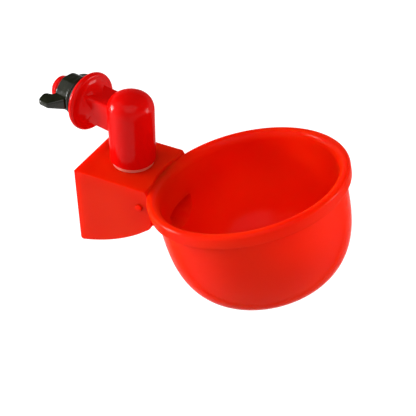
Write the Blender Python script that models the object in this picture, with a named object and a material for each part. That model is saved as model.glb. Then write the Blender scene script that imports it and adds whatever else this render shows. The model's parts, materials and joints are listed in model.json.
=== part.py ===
"""Automatic drinking cup for chickens: a bowl with a float chamber that swivels under an inlet elbow.

Frame: +Z is up. The origin is on the inlet stud's axis, in the flange's wall-side face, and the stud
runs along -X, through the wall of the bucket that feeds the cup. The cup hangs under the elbow's
barrel and is turned a little on it. All values are in metres.
"""
import math

import bmesh
import bpy
from mathutils import Matrix, Vector

MM = 0.001
MERGE_DISTANCE = 0.0005 * MM

# Clearances between neighbouring pieces
SEAT_GAP = 0.15 * MM
TURNING_GAP = 0.15 * MM
FLOAT_GAP = 0.5 * MM

# Inlet elbow
STUD_RADIUS = 4.2 * MM
STUD_LENGTH = 13.8 * MM
STUD_CHAMFER = 0.8 * MM
FLANGE_RADIUS = 10.0 * MM
FLANGE_THICKNESS = 2.4 * MM
TRUMPET_LENGTH = 5.2 * MM
ARM_SIDE = 9.8 * MM
ARM_CORNER = 0.8 * MM
BARREL_OFFSET = 19.1 * MM
BARREL_RADIUS = 7.65 * MM
BARREL_SHOULDER_HEIGHT = 3.4 * MM
DOME_HEIGHT = 6.3 * MM
DOME_FULLNESS = 2.4
BARREL_FOOT_BEVEL = 0.5 * MM
AXIS_ABOVE_HOUSING = 16.4 * MM
SPIGOT_RADIUS = 4.4 * MM
SPIGOT_TAIL = 2.0 * MM
CLIP_GROOVE_DEPTH = 0.7 * MM
NOZZLE_RADIUS = 2.4 * MM
NOZZLE_LENGTH = 1.6 * MM
NOZZLE_CONE = 1.0 * MM
CHANNEL_RADIUS = 2.0 * MM
ORIFICE_RADIUS = 1.1 * MM

# Rings on the stud and the spigot
GASKET_RADIUS = 7.0 * MM
GASKET_THICKNESS = 1.5 * MM
GASKET_EDGE = 0.3 * MM
NUT_WASHER_RADIUS = 6.8 * MM
NUT_WASHER_THICKNESS = 0.8 * MM
NUT_WASHER_EDGE = 0.15 * MM
SWIVEL_WASHER_RADIUS = 6.8 * MM
SWIVEL_WASHER_THICKNESS = 1.2 * MM
SWIVEL_WASHER_EDGE = 0.3 * MM
CLIP_RADIUS = 6.2 * MM
CLIP_THICKNESS = 1.0 * MM
CLIP_EDGE = 0.1 * MM
CLIP_MOUTH = 5.0 * MM

# Wing nut
NUT_LENGTH = 6.4 * MM
NUT_BASE_RADIUS = 7.0 * MM
NUT_BASE_LENGTH = 1.2 * MM
HUB_RADIUS = 6.8 * MM
HUB_SIDES = 8
HUB_CORNER = 0.8 * MM
NUT_EDGE = 0.5 * MM
WING_ROOT = 4.7 * MM
WING_FOOT = 7.3 * MM
WING_FOOT_ROUND = 0.5 * MM
WING_SHOULDER = 4.8 * MM
WING_SHOULDER_ROUND = 1.0 * MM
WING_SPAN = 11.6 * MM
WING_LEAN = 3.7 * MM
WING_TIP_LEAN = 0.6 * MM
WING_TIP_ROUND = 2.0 * MM
WING_HORN = 7.6 * MM
WING_HORN_ROUND = 1.6 * MM
WING_NOTCH = 6.8 * MM
WING_NOTCH_STEP = 0.4 * MM
WING_TIP_THICKNESS = 1.6 * MM
WING_ROOT_THICKNESS = 5.2 * MM
WING_EDGE = 0.4 * MM

# Cup: bowl, lip and float chamber
WALL = 1.7 * MM
RIM_RADIUS = 32.5 * MM
RIM_WIDTH = 2.9 * MM
LIP_HEIGHT = 4.75 * MM
LIP_STEP = 2.0 * MM
LIP_EDGE = 0.4 * MM
MOUTH_ROUND = 1.0 * MM
BOWL_DEPTH = 38.3 * MM
BOWL_STRAIGHT = 10.8 * MM
BOWL_FLAT_RADIUS = 10.2 * MM
BOWL_FULLNESS = 2.7
BOWL_PITCH = math.radians(16.2)
BOWL_REACH = 40.8 * MM
BOWL_RISE = 7.4 * MM
HOUSING_WIDTH = 27.0 * MM
HOUSING_BACK = 14.9 * MM
HOUSING_TOP_LENGTH = 26.6 * MM
HOUSING_LENGTH = 28.5 * MM
HOUSING_DEPTH = 30.0 * MM
HOUSING_FRONT_DEPTH = 14.7 * MM
FLOOR_ARC_RADIUS = 66.0 * MM
HOUSING_HEEL = 1.0 * MM
HOUSING_TOE = 3.0 * MM
CHAMFER_RUN = 1.6 * MM
CHAMFER_DROP = 2.4 * MM
LIP_SUPPORT = 4.5 * MM
TOP_PLATE = 1.8 * MM
SWIVEL_ANGLE = math.radians(11.8)

# Throat between chamber and bowl, and the half-round water passage in it
PASSAGE_WIDTH = 14.6 * MM
PASSAGE_TOP = 12.5 * MM
PASSAGE_HEIGHT = 7.9 * MM
PASSAGE_ROUND = 7.0 * MM
THROAT_LENGTH = 6.0 * MM
THROAT_HEEL = 11.5 * MM
SHOULDER_DEPTH = 9.0 * MM
SHOULDER_ROUND = 2.0 * MM

# Float, pin and valve pad
PIN_RADIUS = 1.2 * MM
PIN_PROUD = 1.0 * MM
PIN_FORWARD = 9.5 * MM
PIN_DEPTH = 6.95 * MM
FLOAT_HUB_WALL = 0.7 * MM
FLOAT_NOSE_RELIEF = 0.8 * MM
FLOAT_TOE = 1.5 * MM
FLOAT_EDGE = 1.0 * MM
FLOAT_TRAVEL = math.radians(8.0)
PIN_EDGE = 0.4 * MM
PAD_RADIUS = 3.2 * MM
PAD_THICKNESS = 1.5 * MM
PAD_PROUD = 0.8 * MM
PAD_EDGE = 0.3 * MM
VALVE_GAP = 0.25 * MM

# Facets
ROUND_STEPS = 40
BOWL_STEPS = 64
SMALL_STEPS = 20
MOUTH_STEPS = 4
SMOOTH_ANGLE = math.radians(35)
ROUND_REACH = 1.5
FACING = 0.9

# Places that follow from the sizes above
BARREL_X = BARREL_OFFSET
HOUSING_TOP_Z = -AXIS_ABOVE_HOUSING
NOZZLE_TIP_DEPTH = (TOP_PLATE + 2 * SEAT_GAP + CLIP_THICKNESS + SPIGOT_TAIL + NOZZLE_CONE + NOZZLE_LENGTH)
GASKET_X = -SEAT_GAP
NUT_WASHER_X = GASKET_X - GASKET_THICKNESS - SEAT_GAP
NUT_X = NUT_WASHER_X - NUT_WASHER_THICKNESS - SEAT_GAP
SWIVEL_WASHER_Z = HOUSING_TOP_Z + SEAT_GAP
BARREL_FOOT_Z = SWIVEL_WASHER_Z + SWIVEL_WASHER_THICKNESS + SEAT_GAP
CLIP_Z = HOUSING_TOP_Z - TOP_PLATE - SEAT_GAP


def clear_scene():
    """Remove every object of the start-up scene."""
    for found in list(bpy.data.objects):
        bpy.data.objects.remove(found, do_unlink=True)


def plastic(name, colour, roughness):
    """A Principled BSDF material for a moulded piece."""
    material = bpy.data.materials.new(name)
    material.use_nodes = True
    shader = material.node_tree.nodes["Principled BSDF"]
    shader.inputs["Base Color"].default_value = (*colour, 1.0)
    shader.inputs["Roughness"].default_value = roughness
    shader.inputs["Metallic"].default_value = 0.0
    return material


def place(thing, parent=None, location=(0, 0, 0), rotation=(0, 0, 0)):
    """Link an object into the scene at a place under its parent."""
    bpy.context.scene.collection.objects.link(thing)
    thing.parent = parent
    thing.location = location
    thing.rotation_euler = rotation
    return thing


def solid(name, shape, material=None):
    """Turn a bmesh into an object with outward faces, shaded smooth up to its sharp edges."""
    bmesh.ops.remove_doubles(shape, verts=shape.verts, dist=MERGE_DISTANCE)
    bmesh.ops.recalc_face_normals(shape, faces=shape.faces)
    mesh = bpy.data.meshes.new(name)
    shape.to_mesh(mesh)
    shape.free()
    mesh.shade_smooth()
    mesh.set_sharp_from_angle(angle=SMOOTH_ANGLE)
    if material:
        mesh.materials.append(material)
    return bpy.data.objects.new(name, mesh)


def revolved(profile, steps, axis=(0, 0, 1), closed=False):
    """Spin a profile of (radius, height) points about Z, or of (radius, -x) points about -X."""
    shape = bmesh.new()
    if axis == (0, 0, 1):
        points = [shape.verts.new((radius, 0, height)) for radius, height in profile]
    else:
        points = [shape.verts.new((-along, 0, radius)) for radius, along in profile]
    pairs = list(zip(points, points[1:])) + ([(points[-1], points[0])] if closed else [])
    edges = [shape.edges.new(pair) for pair in pairs]
    bmesh.ops.spin(
        shape, geom=points + edges, cent=(0, 0, 0), axis=axis, angle=math.tau, steps=steps, use_merge=True
    )
    return shape


def prism(outline, low, high, across="y"):
    """Extrude an outline of (x, z) points along Y, of (y, z) points along X or of (x, y) points along Z."""
    shape = bmesh.new()
    corner = {
        "x": lambda a, b: (low, a, b),
        "y": lambda a, b: (a, low, b),
        "z": lambda a, b: (a, b, low),
    }[across]
    face = shape.faces.new([shape.verts.new(corner(a, b)) for a, b in outline])
    grown = bmesh.ops.extrude_face_region(shape, geom=[face])
    step = Vector({"x": (1, 0, 0), "y": (0, 1, 0), "z": (0, 0, 1)}[across]) * (high - low)
    moved = [found for found in grown["geom"] if isinstance(found, bmesh.types.BMVert)]
    bmesh.ops.translate(shape, vec=step, verts=moved)
    return shape


def filleted(corners, steps=4):
    """Round the corners of an outline given as (x, y, radius)."""
    outline = []
    for index, (x, y, radius) in enumerate(corners):
        here = Vector((x, y))
        if radius <= 0:
            outline.append((x, y))
            continue
        back = (Vector(corners[index - 1][:2]) - here).normalized()
        ahead = (Vector(corners[(index + 1) % len(corners)][:2]) - here).normalized()
        half = back.angle(ahead) / 2
        centre = here + (back + ahead).normalized() * radius / math.sin(half)
        first = here + back * radius / math.tan(half) - centre
        last = here + ahead * radius / math.tan(half) - centre
        turn = first.angle_signed(last)
        for step in range(steps + 1):
            arm = first.copy()
            arm.rotate(Matrix.Rotation(-turn * step / steps, 2))
            outline.append(tuple(centre + arm))
    return outline


def boolean(target, tool, operation):
    """Join a helper to an object or cut it out, and keep the helper out of the model."""
    tool.hide_render = True
    tool.display_type = "WIRE"
    modifier = target.modifiers.new(tool.name, "BOOLEAN")
    modifier.operation = operation
    modifier.solver = "EXACT"
    modifier.object = tool


def ring(inner, outer, low, high, steps, axis, edge):
    """A flat ring with broken edges, as (radius, along) points about an axis."""
    profile = [
        (inner, low), (outer - edge, low), (outer, low + edge),
        (outer, high - edge), (outer - edge, high), (inner, high),
    ]
    return revolved(profile, steps, axis, closed=True)


def rounded_rim(radius, low, high, steps):
    """Half-round edge of a disc, as (radius, along) points from its low face to its high face."""
    half = (high - low) / 2
    return [
        (radius - abs(half) * (1 - math.sin(turn)), (low + high) / 2 - half * math.cos(turn))
        for turn in (math.pi * step / steps for step in range(steps + 1))
    ]


def barrel_profile():
    """Nozzle, spigot with its clip groove, barrel and dome, from the tip up, as (radius, z)."""
    tip = HOUSING_TOP_Z - NOZZLE_TIP_DEPTH
    groove_low = CLIP_Z - CLIP_THICKNESS - SEAT_GAP
    groove_high = CLIP_Z + SEAT_GAP
    cone_high = tip + NOZZLE_LENGTH + NOZZLE_CONE
    groove_radius = SPIGOT_RADIUS - CLIP_GROOVE_DEPTH
    points = [
        (0, tip), (NOZZLE_RADIUS, tip), (NOZZLE_RADIUS, tip + NOZZLE_LENGTH), (SPIGOT_RADIUS, cone_high),
        (SPIGOT_RADIUS, groove_low), (groove_radius, groove_low),
        (groove_radius, groove_high), (SPIGOT_RADIUS, groove_high),
        (SPIGOT_RADIUS, BARREL_FOOT_Z), (BARREL_RADIUS - BARREL_FOOT_BEVEL, BARREL_FOOT_Z),
        (BARREL_RADIUS, BARREL_FOOT_Z + 2 * BARREL_FOOT_BEVEL),
    ]
    dome_steps = 10
    power = 2 / DOME_FULLNESS
    points.append((BARREL_RADIUS, BARREL_SHOULDER_HEIGHT))
    for step in range(1, dome_steps):
        turn = math.pi / 2 * step / dome_steps
        points.append((BARREL_RADIUS * math.cos(turn) ** power,
                       BARREL_SHOULDER_HEIGHT + DOME_HEIGHT * math.sin(turn) ** power))
    return points + [(0, BARREL_SHOULDER_HEIGHT + DOME_HEIGHT)]


def stud_profile():
    """Stud, flange and the trumpet that runs into the arm, as (radius, -x) points about the stud's axis."""
    points = [
        (0, STUD_LENGTH), (STUD_RADIUS - STUD_CHAMFER, STUD_LENGTH),
        (STUD_RADIUS, STUD_LENGTH - STUD_CHAMFER), (STUD_RADIUS, 0),
    ]
    points += rounded_rim(FLANGE_RADIUS, 0, -FLANGE_THICKNESS, 6)
    trumpet_steps = 5
    mouth = FLANGE_RADIUS - FLANGE_THICKNESS / 2
    throat = ARM_SIDE / 2
    for step in range(1, trumpet_steps + 1):
        turn = math.pi / 2 * step / trumpet_steps
        points.append((mouth - (mouth - throat) * math.sin(turn),
                       -FLANGE_THICKNESS - TRUMPET_LENGTH * (1 - math.cos(turn))))
    points.append((0, -FLANGE_THICKNESS - TRUMPET_LENGTH))
    return points


def arm_outline():
    """The arm's square section with broken corners, as (y, z) points."""
    half = ARM_SIDE / 2
    corners = [(-half, -half), (half, -half), (half, half), (-half, half)]
    return filleted([(y, z, ARM_CORNER) for y, z in corners], 3)


def make_elbow(material):
    """Inlet elbow: threaded stud, flange, square arm, domed barrel and the nozzle spigot, one moulding."""
    barrel = solid("elbow", revolved(barrel_profile(), ROUND_STEPS), material)
    elbow = place(barrel, location=(BARREL_X, 0, 0))
    flange = place(solid("stud_and_flange_form", revolved(stud_profile(), ROUND_STEPS, axis=(-1, 0, 0))))
    arm = place(solid("arm_form", prism(arm_outline(), FLANGE_THICKNESS / 2, BARREL_X, "x")))
    outside = 2 * STUD_LENGTH
    inlet = [(0, -BARREL_X), (CHANNEL_RADIUS, -BARREL_X), (CHANNEL_RADIUS, outside), (0, outside)]
    tip = HOUSING_TOP_Z - NOZZLE_TIP_DEPTH
    throat = tip + NOZZLE_LENGTH
    outlet = [
        (0, tip - NOZZLE_LENGTH), (ORIFICE_RADIUS, tip - NOZZLE_LENGTH), (ORIFICE_RADIUS, throat),
        (CHANNEL_RADIUS, throat + NOZZLE_CONE), (CHANNEL_RADIUS, 0), (0, 0),
    ]
    boolean(elbow, flange, "UNION")
    boolean(elbow, arm, "UNION")
    boolean(elbow, place(solid("inlet_bore", revolved(inlet, SMALL_STEPS, axis=(-1, 0, 0)))), "DIFFERENCE")
    outlet_bore = place(solid("outlet_bore", revolved(outlet, SMALL_STEPS)), location=(BARREL_X, 0, 0))
    boolean(elbow, outlet_bore, "DIFFERENCE")


def make_stud_rings(rubber):
    """Gasket for the outside of the bucket's wall and washer for its inside."""
    bore = STUD_RADIUS + SEAT_GAP
    near = -GASKET_X
    gasket = ring(bore, GASKET_RADIUS, near, near + GASKET_THICKNESS, ROUND_STEPS, (-1, 0, 0), GASKET_EDGE)
    place(solid("wall_gasket", gasket, rubber))
    near = -NUT_WASHER_X
    far = near + NUT_WASHER_THICKNESS
    washer = ring(bore, NUT_WASHER_RADIUS, near, far, ROUND_STEPS, (-1, 0, 0), NUT_WASHER_EDGE)
    place(solid("nut_washer", washer, rubber))


def wing_outline():
    """One wing in the plane of the stud's axis, as (x, y) points from the nut's base."""
    tip = NUT_LENGTH + WING_LEAN
    corners = [
        (-NUT_BASE_LENGTH, WING_ROOT, 0),
        (-NUT_BASE_LENGTH, WING_FOOT, WING_FOOT_ROUND),
        (-WING_SHOULDER, WING_SPAN, WING_SHOULDER_ROUND),
        (-tip + WING_TIP_LEAN, WING_SPAN, WING_TIP_ROUND),
        (-tip, WING_HORN, WING_HORN_ROUND),
        (-NUT_LENGTH - WING_NOTCH_STEP, WING_NOTCH, WING_SHOULDER_ROUND),
        (-NUT_LENGTH + NUT_EDGE, WING_ROOT, 0),
    ]
    return filleted(corners, 4)


def wing(name, side):
    """A wing with softened edges that grows thicker towards the hub, on one side of it."""
    outline = [(x, side * y) for x, y in wing_outline()]
    shape = prism(outline, -WING_TIP_THICKNESS / 2, WING_TIP_THICKNESS / 2, "z")
    bmesh.ops.recalc_face_normals(shape, faces=shape.faces)
    flats = [face for face in shape.faces if abs(face.normal.z) > FACING]
    rims = list({edge for face in flats for edge in face.edges})
    bmesh.ops.bevel(shape, geom=rims, offset=WING_EDGE, segments=2, profile=0.5, affect="EDGES", material=-1)
    growth = WING_ROOT_THICKNESS / WING_TIP_THICKNESS - 1
    for vertex in shape.verts:
        inwards = (WING_SPAN - abs(vertex.co.y)) / (WING_SPAN - WING_ROOT)
        vertex.co.z *= 1 + growth * inwards
    return place(solid(name, shape), location=(NUT_X, 0, 0))


def hub_outline():
    """The nut's eight-sided section with rounded corners and a flat towards each wing, as (y, z) points."""
    turns = (math.tau * (corner + 0.5) / HUB_SIDES for corner in range(HUB_SIDES))
    corners = [(HUB_RADIUS * math.cos(turn), HUB_RADIUS * math.sin(turn), HUB_CORNER) for turn in turns]
    return filleted(corners, 2)


def make_wing_nut(material):
    """Two-winged plastic nut: an eight-sided hub on a round collar, bored for the stud."""
    bore = STUD_RADIUS + TURNING_GAP
    hub = prism(hub_outline(), -NUT_LENGTH, -NUT_BASE_LENGTH / 2, "x")
    bmesh.ops.recalc_face_normals(hub, faces=hub.faces)
    end = [face for face in hub.faces if face.normal.x < -FACING]
    rim = list({edge for face in end for edge in face.edges})
    bmesh.ops.bevel(hub, geom=rim, offset=NUT_EDGE, segments=2, profile=0.5, affect="EDGES", material=-1)
    nut = place(solid("wing_nut", hub, material), location=(NUT_X, 0, 0))
    collar = [(0, 0), (NUT_BASE_RADIUS - NUT_EDGE, 0), (NUT_BASE_RADIUS, NUT_EDGE),
              (NUT_BASE_RADIUS, NUT_BASE_LENGTH), (0, NUT_BASE_LENGTH)]
    collar_form = solid("collar_form", revolved(collar, ROUND_STEPS, (-1, 0, 0)))
    boolean(nut, place(collar_form, location=(NUT_X, 0, 0)), "UNION")
    for name, side in (("near_wing_form", -1), ("far_wing_form", 1)):
        boolean(nut, wing(name, side), "UNION")
    through = [(0, -NUT_LENGTH), (bore, -NUT_LENGTH), (bore, 2 * NUT_LENGTH), (0, 2 * NUT_LENGTH)]
    nut_bore = solid("nut_bore", revolved(through, ROUND_STEPS, (-1, 0, 0)))
    boolean(nut, place(nut_bore, location=(NUT_X, 0, 0)), "DIFFERENCE")


def make_swivel_rings(silicone, acetal):
    """Washer under the barrel and the spring clip that holds the spigot under the chamber's top."""
    up = (0, 0, 1)
    bore = SPIGOT_RADIUS + SEAT_GAP
    height = SWIVEL_WASHER_THICKNESS
    washer = ring(bore, SWIVEL_WASHER_RADIUS, 0, height, ROUND_STEPS, up, SWIVEL_WASHER_EDGE)
    place(solid("swivel_washer", washer, silicone), location=(BARREL_X, 0, SWIVEL_WASHER_Z))
    groove = SPIGOT_RADIUS - CLIP_GROOVE_DEPTH + SEAT_GAP
    clip_ring = ring(groove, CLIP_RADIUS, -CLIP_THICKNESS, 0, ROUND_STEPS, up, CLIP_EDGE)
    clip = place(solid("swivel_clip", clip_ring, acetal), location=(BARREL_X, 0, CLIP_Z))
    behind = -2 * CLIP_RADIUS
    mouth = [(0, -CLIP_MOUTH / 2), (behind, -CLIP_MOUTH / 2), (behind, CLIP_MOUTH / 2), (0, CLIP_MOUTH / 2)]
    cutter = solid("clip_mouth", prism(mouth, -2 * CLIP_THICKNESS, CLIP_THICKNESS, "z"))
    boolean(clip, place(cutter, location=(BARREL_X, 0, CLIP_Z)), "DIFFERENCE")


def bowl_wall(offset, top):
    """The bowl's wall from its floor up, moved inwards by an offset, as (radius, height) points."""
    steps = 10
    body = RIM_RADIUS - LIP_STEP
    rise = BOWL_DEPTH - BOWL_STRAIGHT - offset
    run = body - BOWL_FLAT_RADIUS - offset
    power = 2 / BOWL_FULLNESS
    points = [(0, -BOWL_DEPTH + offset), (BOWL_FLAT_RADIUS, -BOWL_DEPTH + offset)]
    for step in range(1, steps + 1):
        turn = math.pi / 2 * step / steps
        radius = BOWL_FLAT_RADIUS + run * max(math.sin(turn), 0) ** power
        height = -BOWL_STRAIGHT - rise * max(math.cos(turn), 0) ** power
        points.append((radius, height if step < steps else -BOWL_STRAIGHT))
    return points + [(body - offset, top)]


def floor_arc(offset, steps=8):
    """The chamber's rising floor from its heel to its front, as (x, z) points, moved in by an offset."""
    back = Vector((-HOUSING_BACK, -HOUSING_DEPTH))
    front = Vector((-HOUSING_BACK + HOUSING_LENGTH, -HOUSING_FRONT_DEPTH))
    chord = front - back
    rise = math.sqrt(FLOOR_ARC_RADIUS ** 2 - (chord.length / 2) ** 2)
    centre = (back + front) / 2 + Vector((-chord.y, chord.x)).normalized() * rise
    radius = FLOOR_ARC_RADIUS - offset
    low = -HOUSING_BACK + offset
    high = -HOUSING_BACK + HOUSING_LENGTH - offset
    return [
        (x, centre.y - math.sqrt(radius ** 2 - (x - centre.x) ** 2))
        for x in (low + (high - low) * step / steps for step in range(steps + 1))
    ]


def chamber_outline(offset):
    """Side outline of the chamber behind the bowl, from the back of its top round by the floor."""
    floor = floor_arc(offset)
    heel = HOUSING_HEEL - offset
    toe = HOUSING_TOE - offset
    back = -HOUSING_BACK + offset
    front = -HOUSING_BACK + HOUSING_LENGTH - offset
    corners = [(back, floor[0][1], heel)]
    for x, z in floor:
        if back + ROUND_REACH * HOUSING_HEEL < x < front - ROUND_REACH * HOUSING_TOE:
            corners.append((x, z, 0))
    corners.append((front, floor[-1][1], toe))
    return corners


def throat_outline():
    """Section of the throat: as wide as the chamber under the lip, then a half-round, as (y, z) points."""
    side = HOUSING_WIDTH / 2
    half = PASSAGE_WIDTH / 2 + WALL
    low = -PASSAGE_TOP - PASSAGE_HEIGHT - WALL
    slope_end = -SHOULDER_DEPTH - (side - half)
    corners = [
        (side, -LIP_HEIGHT, 0), (side, -SHOULDER_DEPTH, SHOULDER_ROUND),
        (half, slope_end, SHOULDER_ROUND), (half, low, PASSAGE_ROUND + WALL),
        (-half, low, PASSAGE_ROUND + WALL), (-half, slope_end, SHOULDER_ROUND),
        (-side, -SHOULDER_DEPTH, SHOULDER_ROUND), (-side, -LIP_HEIGHT, 0),
    ]
    return filleted(corners, 6)


def passage_outline():
    """Section of the water passage, flat on top and half-round below, as (y, z) points."""
    half = PASSAGE_WIDTH / 2
    low = -PASSAGE_TOP - PASSAGE_HEIGHT
    corners = [(half, -PASSAGE_TOP, 0), (half, low, PASSAGE_ROUND),
               (-half, low, PASSAGE_ROUND), (-half, -PASSAGE_TOP, 0)]
    return filleted(corners, 6)


def cup_outer_forms(swivel):
    """The chamber's outside with its support under the lip, and the throat that joins it to the bowl."""
    side = HOUSING_WIDTH / 2
    front = -HOUSING_BACK + HOUSING_LENGTH
    reach = front + LIP_SUPPORT
    web = -SHOULDER_DEPTH + SHOULDER_ROUND
    shell = chamber_outline(0) + [
        (front, web, 0), (reach, web, 0), (reach, -LIP_HEIGHT, 0),
        (-HOUSING_BACK + HOUSING_TOP_LENGTH + CHAMFER_RUN, -CHAMFER_DROP, 0),
        (-HOUSING_BACK + HOUSING_TOP_LENGTH, 0, 0), (-HOUSING_BACK, 0, 0),
    ]
    chamber = place(solid("chamber_form", prism(filleted(shell), -side, side)), swivel)
    throat_shape = prism(throat_outline(), front - THROAT_HEEL, front + THROAT_LENGTH, "x")
    return chamber, place(solid("throat_form", throat_shape), swivel)


def cup_cutters(swivel, rim_centre, pitch):
    """The bowl's hollow, the chamber's hollow, the water passage and the holes for spigot and pin."""
    side = HOUSING_WIDTH / 2
    front = -HOUSING_BACK + HOUSING_LENGTH
    mouth = RIM_RADIUS - RIM_WIDTH
    inner = bowl_wall(WALL, -LIP_HEIGHT)
    for step in range(MOUTH_STEPS + 1):
        turn = math.pi / 2 * step / MOUTH_STEPS
        inner.append((mouth + MOUTH_ROUND * (1 - math.cos(turn)), MOUTH_ROUND * (math.sin(turn) - 1)))
    inner += [(mouth + MOUTH_ROUND, LIP_HEIGHT), (0, LIP_HEIGHT)]
    cavity = place(solid("bowl_cavity", revolved(inner, BOWL_STEPS)), swivel, rim_centre, pitch)

    roof = [(front - WALL, -TOP_PLATE, 0), (-HOUSING_BACK + WALL, -TOP_PLATE, 0)]
    hollow_shape = prism(filleted(chamber_outline(WALL) + roof), -side + WALL, side - WALL)
    hollow = place(solid("chamber_hollow", hollow_shape), swivel)
    passage_shape = prism(passage_outline(), front - THROAT_HEEL, front + THROAT_LENGTH + WALL, "x")
    passage = place(solid("water_passage", passage_shape), swivel)
    spigot_bar = round_bar(SPIGOT_RADIUS + TURNING_GAP, -2 * TOP_PLATE, TOP_PLATE)
    spigot_hole = place(solid("spigot_hole", spigot_bar), swivel)
    pin_bar = round_bar(PIN_RADIUS + SEAT_GAP, -HOUSING_WIDTH, HOUSING_WIDTH)
    pin_hole = place(solid("pin_hole", pin_bar), swivel, (PIN_FORWARD, 0, -PIN_DEPTH), (math.pi / 2, 0, 0))
    return cavity, hollow, passage, spigot_hole, pin_hole


def make_cup(material, swivel):
    """Bowl, lip, throat and float chamber in one moulding."""
    rim_centre = (BOWL_REACH, 0, BOWL_RISE)
    pitch = (0, -BOWL_PITCH, 0)
    lip = [(RIM_RADIUS, -LIP_HEIGHT), (RIM_RADIUS, -LIP_EDGE), (RIM_RADIUS - LIP_EDGE, 0), (0, 0)]
    bowl = revolved(bowl_wall(0, -LIP_HEIGHT) + lip, BOWL_STEPS)
    cup = place(solid("cup_body", bowl, material), swivel, rim_centre, pitch)
    for form in cup_outer_forms(swivel):
        boolean(cup, form, "UNION")
    for cutter in cup_cutters(swivel, rim_centre, pitch):
        boolean(cup, cutter, "DIFFERENCE")


def round_bar(radius, low, high):
    """A plain cylinder about Z."""
    return revolved([(0, low), (radius, low), (radius, high), (0, high)], SMALL_STEPS)


def lifted(x, z):
    """Where a point of the dropped float goes when the float has risen, both from the pin."""
    turn = FLOAT_TRAVEL
    return (x * math.cos(turn) + z * math.sin(turn), z * math.cos(turn) - x * math.sin(turn))


def float_outline():
    """Side outline of the risen float with its hinge hub, as (x, z) points from the pin."""
    top = PIN_DEPTH - NOZZLE_TIP_DEPTH - VALVE_GAP - PAD_PROUD
    hub = PIN_RADIUS + FLOAT_HUB_WALL
    rear = -HOUSING_BACK + WALL + FLOAT_GAP - PIN_FORWARD
    nose = -HOUSING_BACK + HOUSING_LENGTH - WALL - FLOAT_GAP - FLOAT_NOSE_RELIEF - PIN_FORWARD
    bottom = []
    for x, z in floor_arc(WALL + FLOAT_GAP, 12):
        point = lifted(x - PIN_FORWARD, z + PIN_DEPTH)
        if rear < point[0] < nose - FLOAT_TOE:
            bottom.append(point)
    corners = [(rear, top, FLOAT_EDGE), (rear, bottom[0][1], FLOAT_EDGE)]
    corners += [(x, z, 0) for x, z in bottom if x > rear + 2 * ROUND_REACH * FLOAT_EDGE]
    corners += [(nose, bottom[-1][1] + FLOAT_TOE, 0)]
    start = -math.acos(min(nose / hub, 1))
    hub_steps = 10
    for step in range(hub_steps + 1):
        turn = start + (math.pi - start) * step / hub_steps
        corners.append((hub * math.cos(turn), hub * math.sin(turn), 0))
    corners += [(-hub, top, 0)]
    return filleted(corners, 3)


def make_float(plastic_float, rubber_pad, swivel, pivot):
    """Float with its hinge hub, the valve pad on it, and the pin that they hang on."""
    half = HOUSING_WIDTH / 2 - WALL - FLOAT_GAP
    body = place(solid("float", prism(float_outline(), -half, half), plastic_float), pivot)
    bore = round_bar(PIN_RADIUS + TURNING_GAP, -HOUSING_WIDTH, HOUSING_WIDTH)
    boolean(body, place(solid("hub_bore", bore), pivot, rotation=(math.pi / 2, 0, 0)), "DIFFERENCE")
    pad_top = PIN_DEPTH - NOZZLE_TIP_DEPTH - VALVE_GAP
    pad_low = pad_top - PAD_THICKNESS
    recess = round_bar(PAD_RADIUS + SEAT_GAP, pad_low - SEAT_GAP, pad_top + PAD_THICKNESS)
    boolean(body, place(solid("pad_recess", recess), pivot, (-PIN_FORWARD, 0, 0)), "DIFFERENCE")
    pad = revolved([(0, pad_low), (PAD_RADIUS, pad_low), (PAD_RADIUS, pad_top - PAD_EDGE),
                    (PAD_RADIUS - PAD_EDGE, pad_top), (0, pad_top)], SMALL_STEPS)
    place(solid("valve_pad", pad, rubber_pad), pivot, (-PIN_FORWARD, 0, 0))
    end = HOUSING_WIDTH / 2 + PIN_PROUD
    pin = revolved([(0, -end), (PIN_RADIUS - PIN_EDGE, -end), (PIN_RADIUS, -end + PIN_EDGE),
                    (PIN_RADIUS, end - PIN_EDGE), (PIN_RADIUS - PIN_EDGE, end), (0, end)], SMALL_STEPS)
    place(solid("float_pin", pin, plastic_float), swivel, (PIN_FORWARD, 0, -PIN_DEPTH), (math.pi / 2, 0, 0))


def main():
    """Build the drinker."""
    clear_scene()
    red = plastic("red_polypropylene", (0.75, 0.012, 0.008), 0.25)
    black = plastic("black_nylon", (0.02, 0.022, 0.02), 0.35)
    rubber = plastic("black_rubber", (0.012, 0.012, 0.012), 0.6)
    silicone = plastic("clear_silicone", (0.8, 0.35, 0.3), 0.3)
    acetal = plastic("white_acetal", (0.8, 0.8, 0.78), 0.4)
    swivel = bpy.data.objects.new("cup_swivel", None)
    place(swivel, None, (BARREL_X, 0, HOUSING_TOP_Z), (0, 0, SWIVEL_ANGLE))
    pivot = bpy.data.objects.new("float_pivot", None)
    place(pivot, swivel, (PIN_FORWARD, 0, -PIN_DEPTH), (0, -FLOAT_TRAVEL, 0))
    make_elbow(red)
    make_stud_rings(rubber)
    make_wing_nut(black)
    make_swivel_rings(silicone, acetal)
    make_cup(red, swivel)
    make_float(red, silicone, swivel, pivot)


main()
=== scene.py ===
"""Looks of an automatic chicken waterer: a red drinking cup that swivels under its inlet elbow.

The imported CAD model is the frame. Each class below holds the sizes of one sub-assembly in millimetres,
builds its fine surfaces over the plain solids and dresses them with a procedural finish.
"""

import json
import logging
import math
from dataclasses import dataclass
from enum import Enum

import bmesh
import bpy
from mathutils import Matrix, Vector


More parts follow.
